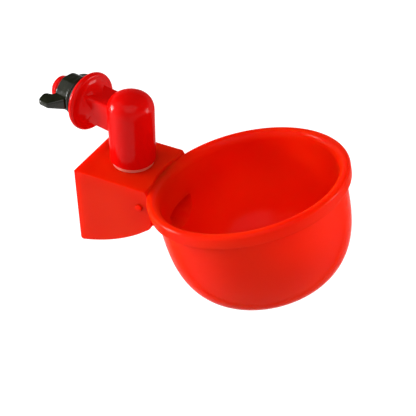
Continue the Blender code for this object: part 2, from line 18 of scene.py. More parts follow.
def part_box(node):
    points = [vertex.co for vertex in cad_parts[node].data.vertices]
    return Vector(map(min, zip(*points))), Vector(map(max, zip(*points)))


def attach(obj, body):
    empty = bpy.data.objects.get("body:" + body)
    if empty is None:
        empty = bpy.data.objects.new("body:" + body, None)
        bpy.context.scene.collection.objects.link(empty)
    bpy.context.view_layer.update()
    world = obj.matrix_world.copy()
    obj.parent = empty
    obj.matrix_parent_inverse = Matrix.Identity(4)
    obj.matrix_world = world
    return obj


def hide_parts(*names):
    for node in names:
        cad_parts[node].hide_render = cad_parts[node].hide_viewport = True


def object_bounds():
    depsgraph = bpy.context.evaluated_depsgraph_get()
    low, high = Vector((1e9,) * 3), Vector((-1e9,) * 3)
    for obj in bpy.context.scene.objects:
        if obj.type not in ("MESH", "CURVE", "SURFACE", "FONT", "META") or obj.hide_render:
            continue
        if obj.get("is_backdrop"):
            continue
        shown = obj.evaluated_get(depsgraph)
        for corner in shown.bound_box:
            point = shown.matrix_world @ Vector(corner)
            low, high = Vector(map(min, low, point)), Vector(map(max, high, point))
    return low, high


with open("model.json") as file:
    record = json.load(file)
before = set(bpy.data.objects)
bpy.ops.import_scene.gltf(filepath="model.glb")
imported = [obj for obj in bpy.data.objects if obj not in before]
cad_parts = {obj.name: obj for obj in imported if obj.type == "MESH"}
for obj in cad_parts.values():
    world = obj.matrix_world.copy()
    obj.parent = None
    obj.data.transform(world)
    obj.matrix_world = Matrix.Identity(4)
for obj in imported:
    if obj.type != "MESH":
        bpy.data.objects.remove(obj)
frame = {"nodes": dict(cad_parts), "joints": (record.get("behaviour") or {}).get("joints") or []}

LOG = logging.getLogger("waterer")
# One millimetre in metres. Shapes are built in millimetres and scaled when they are dressed.
MM = 0.001
# Points that are nearer to each other than this, in millimetres, become one.
MERGE_DISTANCE = 0.001
# Edges that turn by more than this stay sharp in the shading.
SMOOTH_ANGLE = math.radians(38)
# Edges that turn by more than this get a round where a shape is softened.
SOFTEN_ANGLE = math.radians(40)
# Facets in a full turn of a large round shape, and of a small one.
ROUND_STEPS = 128
SMALL_STEPS = 48
# How far, in millimetres, a cutter reaches past the face that it opens.
CUT_PAST = 1.0
# A piece's box is reported where it is this many millimetres off its CAD node's.
BOX_TOLERANCE = 0.05
# The shading modifier's highest weight: large faces set how the small ones beside them are shaded.
STRONG_FACES = 100

# Spreads the range that most of a noise texture's values lie in over the whole of what it drives.
NOISE_SPREAD = {"interpolation_type": "SMOOTHSTEP", "From Min": 0.15, "From Max": 0.85}
# Finer octaves in the noise of the grain. The wider noises have none.
GRAIN_DETAIL = 2.0
# How far a surface turns from the eye, from nought to one, where its gloss starts and stops changing.
GLANCE_SPREAD = {"interpolation_type": "SMOOTHSTEP", "From Min": 0.3, "From Max": 0.65}
GLANCE_BLEND = 0.5
# How far red, green and blue light travel inside a glowing plastic, against each other. Red goes furthest.
SCATTER = (1.0, 0.12, 0.06)

Point = tuple[float, float]
Corner = tuple[float, float, float]
Spot = tuple[float, float, float]


class Axis(Enum):
    """Directions that a profile is spun about or an outline is extruded along."""

    X = "x"
    Y = "y"
    Z = "z"
    STUD = "stud"


class Join(Enum):
    """How a helper shape is worked into a piece."""

    ADD = "UNION"
    CUT = "DIFFERENCE"


def srgb(hex_colour: str) -> tuple[float, float, float, float]:
    """Turn an sRGB hex colour into the linear colour that a shader wants, by the sRGB standard's curve.

    Args:
        hex_colour: six hex digits, red first.

    Returns:
        The linear red, green and blue, and an alpha of one.
    """
    parts = [int(hex_colour[start:start + 2], 16) / 255 for start in (0, 2, 4)]
    linear = [part / 12.92 if part <= 0.04045 else ((part + 0.055) / 1.055) ** 2.4 for part in parts]
    return (linear[0], linear[1], linear[2], 1.0)


def add_node(
    tree: bpy.types.NodeTree, kind: str, settings: dict | None = None, links: dict | None = None
) -> bpy.types.Node:
    """Add a shader node with its settings and its links.

    Args:
        tree: the node tree that gets the node.
        kind: the node's type name.
        settings: values by input name, or by attribute name where the node has no such input.
        links: output sockets by the input name that each feeds.

    Returns:
        The new node.
    """
    node = tree.nodes.new(kind)
    for name, value in (settings or {}).items():
        if name in node.inputs:
            node.inputs[name].default_value = value
        else:
            setattr(node, name, value)
    for name, socket in (links or {}).items():
        tree.links.new(socket, node.inputs[name])
    return node


@dataclass(frozen=True)
class Moulded:
    """A moulded plastic or rubber: its colours, its gloss, its flow marks and its grain.

    glancing is the share of the gloss that is left where the surface is seen at a low angle.
    """

    name: str
    deep: str
    light: str
    roughness: float
    roughness_spread: float = 0.025
    specular: float = 0.5
    flow_mm: float = 18.0
    wave_mm: float = 9.0
    wave_depth_mm: float = 0.010
    grain_mm: float = 0.4
    grain_depth_mm: float = 0.0006
    glow: float = 0.0
    glow_depth_mm: float = 2.0
    clearness: float = 0.0
    glancing: float = 1.0

    def material(self) -> bpy.types.Material:
        """Build the node material of this finish.

        Returns:
            A material on Object coordinates: flow marks in its colour, and waves and grain in its bump.
        """
        material = bpy.data.materials.new(self.name)
        material.use_nodes = True
        tree = material.node_tree
        shader = tree.nodes["Principled BSDF"]
        place = add_node(tree, "ShaderNodeTexCoord").outputs["Object"]
        flow, wave, grain = (
            add_node(
                tree, "ShaderNodeTexNoise", {"Scale": 1 / (size * MM), "Detail": detail}, {"Vector": place}
            ).outputs["Fac"]
            for size, detail in ((self.flow_mm, 0.0), (self.wave_mm, 0.0), (self.grain_mm, GRAIN_DETAIL))
        )
        spread = add_node(tree, "ShaderNodeMapRange", NOISE_SPREAD, {"Value": flow})
        colour = add_node(
            tree, "ShaderNodeMixRGB", {"Color1": srgb(self.deep), "Color2": srgb(self.light)},
            {"Fac": spread.outputs["Result"]},
        )
        gloss = add_node(
            tree, "ShaderNodeMapRange",
            {**NOISE_SPREAD, "To Min": self.roughness - self.roughness_spread,
             "To Max": self.roughness + self.roughness_spread},
            {"Value": wave},
        )
        waves = add_node(tree, "ShaderNodeBump", {"Distance": self.wave_depth_mm * MM}, {"Height": wave})
        bump = add_node(
            tree, "ShaderNodeBump", {"Distance": self.grain_depth_mm * MM},
            {"Height": grain, "Normal": waves.outputs["Normal"]},
        )
        tree.links.new(colour.outputs["Color"], shader.inputs["Base Color"])
        tree.links.new(gloss.outputs["Result"], shader.inputs["Roughness"])
        tree.links.new(bump.outputs["Normal"], shader.inputs["Normal"])
        facing = add_node(tree, "ShaderNodeLayerWeight", {"Blend": GLANCE_BLEND}).outputs["Facing"]
        shine = add_node(
            tree, "ShaderNodeMapRange",
            {**GLANCE_SPREAD, "To Min": self.specular, "To Max": self.specular * self.glancing},
            {"Value": facing},
        )
        tree.links.new(shine.outputs["Result"], shader.inputs["Specular IOR Level"])
        shader.inputs["Transmission Weight"].default_value = self.clearness
        shader.inputs["Subsurface Weight"].default_value = self.glow
        shader.inputs["Subsurface Radius"].default_value = SCATTER
        shader.inputs["Subsurface Scale"].default_value = self.glow_depth_mm * MM
        return material


# Glossy injection-moulded polypropylene, a strong orange red. Light passes a thin wall a little, so edges
# and the inside of the chamber glow. Its fine texture dulls what would shine at a glancing angle.
CUP_RED = Moulded(
    "moulded_polypropylene_orange_red", "E81A03", "F42405", 0.18, specular=0.055, glow=0.9,
    glow_depth_mm=6.0, glancing=0.05,
)
# The same plastic in the thick elbow, with a weaker glow. Its deeper red is painted shade: the base colour
# is darkened for the light that the thick wall lets through less.
ELBOW_RED = Moulded(
    "moulded_polypropylene_red_with_painted_shade", "D20604", "DE0905", 0.15, specular=0.09, glow=0.2, glow_depth_mm=1.5,
    glancing=0.05,
)
# Nylon, black with an olive cast: glossy from the mould, with a fine orange peel.
NUT_BLACK = Moulded(
    "moulded_nylon_black", "14160C", "202316", 0.17, specular=0.35, flow_mm=4.0, wave_mm=1.4,
    wave_depth_mm=0.09, grain_mm=0.3, grain_depth_mm=0.006, glancing=0.1,
)
# Cut sheet rubber: dull, and a little grey where it was sliced.
RUBBER_BLACK = Moulded(
    "sheet_rubber_black", "0D0D0C", "191816", 0.6, specular=0.3, flow_mm=3.0, grain_mm=0.2,
    grain_depth_mm=0.008,
)
# Clear silicone between two red pieces: it looks pale pink and wet.
SILICONE = Moulded(
    "moulded_silicone_milky", "EE8070", "F69486", 0.22, specular=0.5, flow_mm=4.0, grain_depth_mm=0.002,
    glow=0.7, glow_depth_mm=1.5, clearness=0.1,
)
# White acetal, matt and slightly warm.
ACETAL = Moulded("moulded_acetal_white", "DCDAD2", "E8E6DF", 0.42, flow_mm=5.0)
# The float's polypropylene, a plain red with the matt skin of a cheaper mould.
FLOAT_RED = Moulded("moulded_polypropylene_float_red", "D6120A", "E2180C", 0.32, specular=0.25, glow=0.3)


def filleted(corners: list[Corner], steps: int) -> list[Point]:
    """Round the corners of an outline.

    Args:
        corners: the outline as (x, y, radius).
        steps: how many facets each round gets.

    Returns:
        The outline as (x, y), with an arc in place of each corner that has a radius.
    """
    outline: list[Point] = []
    for index, (x, y, radius) in enumerate(corners):
        if radius <= 0:
            outline.append((x, y))
            continue
        here = Vector((x, y))
        back = (Vector(corners[index - 1][:2]) - here).normalized()
        ahead = (Vector(corners[(index + 1) % len(corners)][:2]) - here).normalized()
        half = back.angle(ahead) / 2
        centre = here + (back + ahead).normalized() * radius / math.sin(half)
        first = here + back * radius / math.tan(half) - centre
        turn = first.angle_signed(here + ahead * radius / math.tan(half) - centre)
        for step in range(steps + 1):
            arm = first.copy()
            arm.rotate(Matrix.Rotation(-turn * step / steps, 2))
            outline.append(tuple(centre + arm))
    return outline


def arc(centre: Point, radius: float, start: float, end: float, steps: int) -> list[Point]:
    """Points along an arc, from its start angle to its end angle in degrees."""
    turns = (math.radians(start + (end - start) * step / steps) for step in range(steps + 1))
    return [(centre[0] + radius * math.cos(turn), centre[1] + radius * math.sin(turn)) for turn in turns]


def quarter(along: float, across: float, fullness: float, steps: int) -> list[Point]:
    """A quarter of a superellipse.

    Args:
        along: how far it reaches at its start.
        across: how far it reaches at its end.
        fullness: 2 for an ellipse, and more for a squarer curve.
        steps: how many facets it gets.

    Returns:
        Points as (along, across).
    """
    turns = (math.pi / 2 * step / steps for step in range(steps + 1))
    power = 2 / fullness
    return [(along * max(math.cos(turn), 0) ** power, across * math.sin(turn) ** power) for turn in turns]


class Blank:
    """A shape in millimetres on its way to becoming one piece."""

    def __init__(self, name: str) -> None:
        """Start an empty shape.

        Args:
            name: the piece's name.
        """
        self.name = name
        self.shape = bmesh.new()
        self.work: list[tuple["Blank", Join]] = []

    def spin(self, profile: list[Point], about: Axis, steps: int, closed: bool = False) -> "Blank":
        """Spin a profile of (radius, along) points.

        Args:
            profile: points with their radius first. About the stud, along counts outwards from the flange.
            about: Axis.Z, or Axis.STUD for the stud's own axis, which points along -X.
            steps: how many facets a full turn gets.
            closed: whether the profile's last point joins its first.

        Returns:
            This blank.
        """
        upright = about is Axis.Z
        spots = [(radius, 0, along) if upright else (-along, 0, radius) for radius, along in profile]
        points = [self.shape.verts.new(spot) for spot in spots]
        pairs = list(zip(points, points[1:])) + ([(points[-1], points[0])] if closed else [])
        edges = [self.shape.edges.new(pair) for pair in pairs]
        bmesh.ops.spin(
            self.shape, geom=points + edges, cent=(0, 0, 0), axis=(0, 0, 1) if upright else (-1, 0, 0),
            angle=math.tau, steps=steps, use_merge=True,
        )
        return self.clean()

    def extrude(self, outline: list[Point], low: float, high: float, along: Axis) -> "Blank":
        """Extrude an outline into a bar.

        Args:
            outline: points across the direction, in the order of the two axes that are left.
            low: where the bar starts.
            high: where the bar ends.
            along: the direction.

        Returns:
            This blank.
        """
        index = "xyz".index(along.value)
        spots = [(*point[:index], low, *point[index:]) for point in outline]
        step = Vector((0, 0, 0))
        step[index] = high - low
        face = self.shape.faces.new([self.shape.verts.new(spot) for spot in spots])
        grown = bmesh.ops.extrude_face_region(self.shape, geom=[face])["geom"]
        moved = [found for found in grown if isinstance(found, bmesh.types.BMVert)]
        bmesh.ops.translate(self.shape, vec=step, verts=moved)
        return self.clean()

    def soften(self, width: float, segments: int = 3) -> "Blank":
        """Round every sharp edge, as a mould's own corners are.

        Args:
            width: how far the round reaches from the edge.
            segments: how many facets the round gets.

        Returns:
            This blank.
        """
        sharp = [edge for edge in self.shape.edges if edge.calc_face_angle(0) > SOFTEN_ANGLE]
        bmesh.ops.bevel(
            self.shape, geom=sharp, offset=width, segments=segments, profile=0.5, affect="EDGES",
            clamp_overlap=True, material=-1,
        )
        return self

    def clean(self) -> "Blank":
        """Merge doubled points and turn every face outwards.

        Returns:
            This blank.
        """
        bmesh.ops.remove_doubles(self.shape, verts=self.shape.verts, dist=MERGE_DISTANCE)
        bmesh.ops.recalc_face_normals(self.shape, faces=self.shape.faces)
        return self

    def place(self, matrix: Matrix) -> "Blank":
        """Move and turn the shape, in millimetres."""
        bmesh.ops.transform(self.shape, matrix=matrix, verts=self.shape.verts)
        return self

    def add(self, other: "Blank") -> "Blank":
        """Grow another shape onto this one when it is finished."""
        self.work.append((other, Join.ADD))
        return self

    def cut(self, other: "Blank") -> "Blank":
        """Cut another shape out of this one when it is finished."""
        self.work.append((other, Join.CUT))
        return self

    def to_object(self) -> bpy.types.Object:
        """Turn the shape into an object in metres, with its helpers worked in.

        Returns:
            An object at the origin, with its place in its mesh.
        """
        mesh = bpy.data.meshes.new(self.name)
        self.shape.to_mesh(mesh)
        self.shape.free()
        thing = bpy.data.objects.new(self.name, mesh)
        bpy.context.scene.collection.objects.link(thing)
        helpers = []
        for other, how in self.work:
            helper = other.to_object()
            helpers.append(helper)
            modifier = thing.modifiers.new(helper.name, "BOOLEAN")
            modifier.operation = how.value
            modifier.solver = "EXACT"
            modifier.object = helper
        if helpers:
            graph = bpy.context.evaluated_depsgraph_get()
            thing.data = bpy.data.meshes.new_from_object(thing.evaluated_get(graph))
            thing.modifiers.clear()
            for helper in helpers:
                bpy.data.objects.remove(helper, do_unlink=True)
        return thing


@dataclass
class Dresser:
    """Finishes pieces: scale, shading, material, body and the node that each stands for.

    made keeps each finish's material, by the finish's name.
    """

    made: dict[str, bpy.types.Material]

    def material(self, finish: Moulded) -> bpy.types.Material:
        """The material of a finish, built once.

        Args:
            finish: the finish that is wanted.

        Returns:
            Its material.
        """
        if finish.name not in self.made:
            self.made[finish.name] = finish.material()
        return self.made[finish.name]

    def dress(
        self, blank: Blank, finish: Moulded, body: str, stands_for: str | None = None
    ) -> bpy.types.Object:
        """Finish a blank and hang it on its body.

        Args:
            blank: the shape, placed in millimetres.
            finish: what it is made of.
            body: the CAD body that it rides on.
            stands_for: the CAD node that it replaces, if any.

        Returns:
            The finished object.
        """
        thing = blank.to_object()
        mesh = thing.data
        mesh.transform(Matrix.Scale(MM, 4))
        mesh.materials.clear()
        mesh.materials.append(self.material(finish))
        mesh.shade_smooth()
        mesh.set_sharp_from_angle(angle=SMOOTH_ANGLE)
        even = thing.modifiers.new("even shading", "WEIGHTED_NORMAL")
        even.mode = "FACE_AREA"
        even.weight = STRONG_FACES
        even.keep_sharp = True
        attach(thing, body)
        if stands_for:
            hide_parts(stands_for)
            self.compare(thing, stands_for)
        LOG.info("made %s: %d faces, rides on %s", thing.name, len(mesh.polygons), body)
        return thing

    def compare(self, thing: bpy.types.Object, node: str) -> None:
        """Log each axis along which a piece's box is off its CAD node's box.

        Args:
            thing: the finished object.
            node: the CAD node that it stands for.
        """
        low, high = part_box(node)
        for index, letter in enumerate("xyz"):
            values = [vertex.co[index] for vertex in thing.data.vertices]
            off = max(abs(min(values) - low[index]), abs(max(values) - high[index])) / MM
            if off > BOX_TOLERANCE:
                LOG.warning("%s is %.2f mm off %s along %s", thing.name, off, node, letter)

    def paint(self, node: str, finish: Moulded) -> None:
        """Give a CAD node that isn't replaced its finish.

        Args:
            node: the CAD node.
            finish: what it is made of.
        """
        thing = frame["nodes"][node]
        thing.data.materials.clear()
        thing.data.materials.append(self.material(finish))
        LOG.info("painted %s", node)


def joint(name: str) -> dict:
    """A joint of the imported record, by name."""
    return next(found for found in frame["joints"] if found["name"] == name)


def joint_spot(name: str) -> Vector:
    """Where a joint stands, in millimetres."""
    return Vector(joint(name)["pos_m"]) / MM


def swivel_matrix() -> Matrix:
    """Where the cup's own frame stands, with its X towards the bowl and its Y along the float's hinge.

    Returns:
        The matrix to the swivel's axis at the chamber's top, turned as the cup hangs.
    """
    across = joint("float_hinge")["axis"]
    turn = Matrix.Rotation(math.atan2(-across[0], across[1]), 4, "Z")
    return Matrix.Translation(joint_spot("cup_swivel")) @ turn


@dataclass
class InletElbow:
    """Threaded stud, flange, square arm, domed barrel and spigot, in one moulding.

    The stud points along -X from the flange. The barrel stands on a vertical axis at the arm's other end.
    """

    stud_radius: float = 4.2
    stud_length: float = 13.8
    stud_chamfer: float = 0.8
    thread_crest: float = 0.34
    thread_half_tip: float = 0.18
    thread_gap: float = 0.12
    thread_sunk: float = 0.1
    thread_pitch: float = 1.75
    thread_start: float = 2.8
    thread_end: float = 12.2
    flange_radius: float = 10.0
    flange_thickness: float = 2.4
    trumpet_length: float = 5.2
    arm_side: float = 9.8
    arm_corner: float = 0.8
    barrel_radius: float = 7.65
    shoulder_height: float = 3.4
    dome_height: float = 6.3
    dome_fullness: float = 2.4
    seam_depth: float = 0.07
    seam_width: float = 0.3
    foot_bevel: float = 0.5
    foot_height: float = 1.5
    spigot_radius: float = 4.4
    groove_depth: float = 0.7
    groove_top: float = 1.8
    groove_height: float = 1.3
    spigot_tail: float = 2.0
    nozzle_radius: float = 2.4
    nozzle_length: float = 1.6
    nozzle_cone: float = 1.0
    channel_radius: float = 2.0
    orifice_radius: float = 1.1
    arm_steps: int = 6
    foot_steps: int = 5
    dome_steps: int = 32
    flange_steps: int = 14

    def barrel_profile(self, top: float) -> list[Point]:
        """Outline of nozzle, spigot, barrel and dome, from the tip up.

        Args:
            top: how high the chamber's top is, which the spigot goes through.

        Returns:
            Points as (radius, z).
        """
        groove_low = top - self.groove_top - self.groove_height
        spigot_low = groove_low - self.spigot_tail
        tip = spigot_low - self.nozzle_cone - self.nozzle_length
        groove = self.spigot_radius - self.groove_depth
        foot = top + self.foot_height
        points = [
            (0, tip), (self.nozzle_radius, tip), (self.nozzle_radius, tip + self.nozzle_length),
            (self.spigot_radius, spigot_low), (self.spigot_radius, groove_low), (groove, groove_low),
            (groove, top - self.groove_top), (self.spigot_radius, top - self.groove_top),
            (self.spigot_radius, foot),
        ]
        radius, bevel = self.barrel_radius, self.foot_bevel
        points += arc((radius - bevel, foot + bevel), bevel, -90, 0, self.foot_steps)
        seam = self.shoulder_height - self.seam_width
        points += [(radius, seam - self.seam_width), (radius - self.seam_depth, seam),
                   (radius, seam + self.seam_width)]
        dome = quarter(radius, self.dome_height, self.dome_fullness, self.dome_steps)[1:-1]
        points += [(out, self.shoulder_height + up) for out, up in dome]
        return points + [(0, self.shoulder_height + self.dome_height)]

    def stud_profile(self) -> list[Point]:
        """Outline of the stud, the flange and the trumpet that joins the flange to the arm.

        Returns:
            Points as (radius, -x) about the stud's axis, from the stud's end.
        """
        half = self.flange_thickness / 2
        mouth = self.flange_radius - half
        throat = self.arm_side / 2
        points = [(0, self.stud_length), (self.stud_radius - self.stud_chamfer, self.stud_length),
                  (self.stud_radius, self.stud_length - self.stud_chamfer), (self.stud_radius, 0)]
        points += arc((mouth, -half), half, 90, -90, self.flange_steps)
        for step in range(1, self.flange_steps + 1):
            turn = math.pi / 2 * step / self.flange_steps
            points.append((mouth - (mouth - throat) * math.sin(turn),
                           -self.flange_thickness - self.trumpet_length * (1 - math.cos(turn))))
        return points + [(0, -self.flange_thickness - self.trumpet_length)]

    def thread(self) -> Blank:
        """The thread, which is one ridge wound round the stud with its foot sunk in the stud.

        Returns:
            The ridge.
        """
        blank = Blank("stud_thread")
        half = self.thread_pitch / 2 - self.thread_gap
        tip = self.thread_half_tip
        foot = self.stud_radius - self.thread_sunk
        crest = self.stud_radius + self.thread_crest
        profile = [(foot, -half), (crest, -tip), (crest, tip), (foot, half)]
        face = blank.shape.faces.new(
            [blank.shape.verts.new((-self.thread_start - along, 0, radius)) for radius, along in profile]
        )
        turns = (self.thread_end - self.thread_start) / self.thread_pitch
        steps = int(turns * SMALL_STEPS)
        bmesh.ops.spin(
            blank.shape, geom=[face], cent=(0, 0, 0), axis=(-1, 0, 0), angle=math.tau * turns, steps=steps,
            dvec=(-self.thread_pitch * turns / steps, 0, 0),
        )
        return blank.clean()

    def build(self, dresser: Dresser) -> None:
        """Build the elbow and the thread on its stud.

        Args:
            dresser: finishes each piece.
        """
        swivel = joint_spot("cup_swivel")
        over = Matrix.Translation((swivel.x, 0, 0))
        elbow = Blank("inlet_elbow").spin(self.barrel_profile(swivel.z), Axis.Z, ROUND_STEPS).place(over)
        half = self.arm_side / 2
        square = [(-half, -half), (half, -half), (half, half), (-half, half)]
        section = filleted([(y, z, self.arm_corner) for y, z in square], self.arm_steps)
        stud = Blank("stud_form").spin(self.stud_profile(), Axis.STUD, ROUND_STEPS)
        elbow.add(stud).add(Blank("arm_form").extrude(section, self.flange_thickness / 2, swivel.x, Axis.X))
        far = 2 * self.stud_length
        inlet = [(0, -swivel.x), (self.channel_radius, -swivel.x), (self.channel_radius, far), (0, far)]
        elbow.cut(Blank("inlet_bore").spin(inlet, Axis.STUD, SMALL_STEPS))
        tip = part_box("elbow")[0].z / MM
        throat = tip + self.nozzle_length
        low = tip - CUT_PAST
        outlet = [(0, low), (self.orifice_radius, low), (self.orifice_radius, throat),
                  (self.channel_radius, throat + self.nozzle_cone), (self.channel_radius, 0), (0, 0)]
        elbow.cut(Blank("outlet_bore").spin(outlet, Axis.Z, SMALL_STEPS).place(over))
        dresser.dress(elbow, ELBOW_RED, "inlet", "elbow")
        dresser.dress(self.thread(), ELBOW_RED, "inlet")


@dataclass
class FlatRing:
    """A washer, gasket or seal with rounded outer edges, from low to high along its axis."""

    node: str
    name: str
    inner: float
    outer: float
    low: float
    high: float
    edge: float
    about: Axis = Axis.STUD
    edge_steps: int = 4

    def build(self, dresser: Dresser, finish: Moulded, body: str, slot: str, place: Matrix) -> None:
        """Build the ring in the place of its CAD node.

        Args:
            dresser: finishes the ring.
            finish: what it is made of.
            body: the CAD body that it rides on.
            slot: the name of a material slot; it is not used.
            place: where its own frame stands, in millimetres.
        """
        edge = self.edge
        profile = [(self.inner, self.low)]
        profile += arc((self.outer - edge, self.low + edge), edge, -90, 0, self.edge_steps)
        profile += arc((self.outer - edge, self.high - edge), edge, 0, 90, self.edge_steps)
        profile.append((self.inner, self.high))
        ring = Blank(self.name).spin(profile, self.about, ROUND_STEPS, closed=True).place(place)
        dresser.dress(ring, finish, body, self.node)


WALL_SEAL = FlatRing("wall_gasket", "wall_seal", inner=4.35, outer=7.0, low=0.15, high=1.65, edge=0.3)
THRUST_WASHER = FlatRing("nut_washer", "thrust_washer", inner=4.62, outer=6.8, low=1.8, high=2.6, edge=0.2)
SWIVEL_SEAL = FlatRing(
    "swivel_washer", "swivel_seal", inner=4.55, outer=7.0, low=0.08, high=1.42, edge=0.2, about=Axis.Z
)


@dataclass
class WingNut:
    """Two-winged nut: an eight-sided hub on a round collar, with wings that thicken towards it."""

    start: float = 2.75
    bore: float = 4.62
    length: float = 6.4
    collar_radius: float = 7.0
    collar_length: float = 1.2
    hub_radius: float = 6.8
    hub_corner: float = 3.5
    sides: int = 8
    edge: float = 0.5
    wing_root: float = 4.7
    wing_foot: float = 7.3
    wing_shoulder: float = 4.8
    wing_span: float = 11.6
    wing_lean: float = 3.7
    wing_tip_lean: float = 0.6
    wing_horn: float = 7.6
    wing_notch: float = 6.8
    wing_notch_step: float = 0.4
    wing_tip: float = 1.6
    wing_thick: float = 5.2
    wing_edge: float = 0.7
    foot_round: float = 0.5
    shoulder_round: float = 1.0
    tip_round: float = 2.0
    horn_round: float = 1.6
    notch_round: float = 1.0
    hub_steps: int = 8
    edge_steps: int = 5
    collar_foot_steps: int = 6
    collar_rim_steps: int = 4
    wing_steps: int = 10

    def hub(self) -> Blank:
        """The eight-sided hub with a flat towards each wing and a rounded rim.

        Returns:
            The hub, from inside the collar to the nut's face.
        """
        turns = (math.tau * (corner + 0.5) / self.sides for corner in range(self.sides))
        corners = [(self.hub_radius * math.cos(turn), self.hub_radius * math.sin(turn), self.hub_corner)
                   for turn in turns]
        hub = Blank("nut_with_wings").extrude(
            filleted(corners, self.hub_steps), -self.length, -self.collar_length / 2, Axis.X
        )
        return hub.soften(self.edge, self.edge_steps)

    def collar(self) -> Blank:
        """The round collar that bears on the washer.

        Returns:
            The collar, from the nut's base.
        """
        radius, foot, rim = self.collar_radius, self.edge, self.edge / 2
        profile = [(0, 0), *arc((radius - foot, foot), foot, -90, 0, self.collar_foot_steps)]
        profile += arc((radius - rim, self.collar_length - rim), rim, 0, 90, self.collar_rim_steps)
        return Blank("collar_form").spin([*profile, (0, self.collar_length)], Axis.STUD, ROUND_STEPS)

    def wing(self, side: int) -> Blank:
        """One wing with rounded edges.

        Args:
            side: -1 for the near wing, 1 for the far one.

        Returns:
            The wing, from the nut's base.
        """
        tip = self.length + self.wing_lean
        corners = [
            (-self.collar_length, self.wing_root, 0),
            (-self.collar_length, self.wing_foot, self.foot_round),
            (-self.wing_shoulder, self.wing_span, self.shoulder_round),
            (-tip + self.wing_tip_lean, self.wing_span, self.tip_round),
            (-tip, self.wing_horn, self.horn_round),
            (-self.length - self.wing_notch_step, self.wing_notch, self.notch_round),
            (-self.length + self.edge, self.wing_root, 0),
        ]
        outline = [(x, side * y) for x, y in filleted(corners, self.wing_steps)]
        half = self.wing_tip / 2
        name = "near_wing_form" if side < 0 else "far_wing_form"
        wing = Blank(name).extrude(outline, -half, half, Axis.Z).soften(self.wing_edge, self.edge_steps)
        growth = self.wing_thick / self.wing_tip - 1
        for vertex in wing.shape.verts:
            inwards = (self.wing_span - abs(vertex.co.y)) / (self.wing_span - self.wing_root)
            vertex.co.z *= 1 + growth * inwards
        return wing

    def build(self, dresser: Dresser) -> None:
        """Build the nut in the place of its CAD node.

        Args:
            dresser: finishes the nut.
        """
        over = Matrix.Translation((-self.start, 0, 0))
        nut = self.hub().place(over).add(self.collar().place(over))
        for side in (-1, 1):
            nut.add(self.wing(side).place(over))
        near, far = -self.length, 2 * self.length
        through = [(0, near), (self.bore, near), (self.bore, far), (0, far)]
        nut.cut(Blank("nut_bore").spin(through, Axis.STUD, ROUND_STEPS).place(over))
        dresser.dress(nut, NUT_BLACK, "wing_nut", "wing_nut")


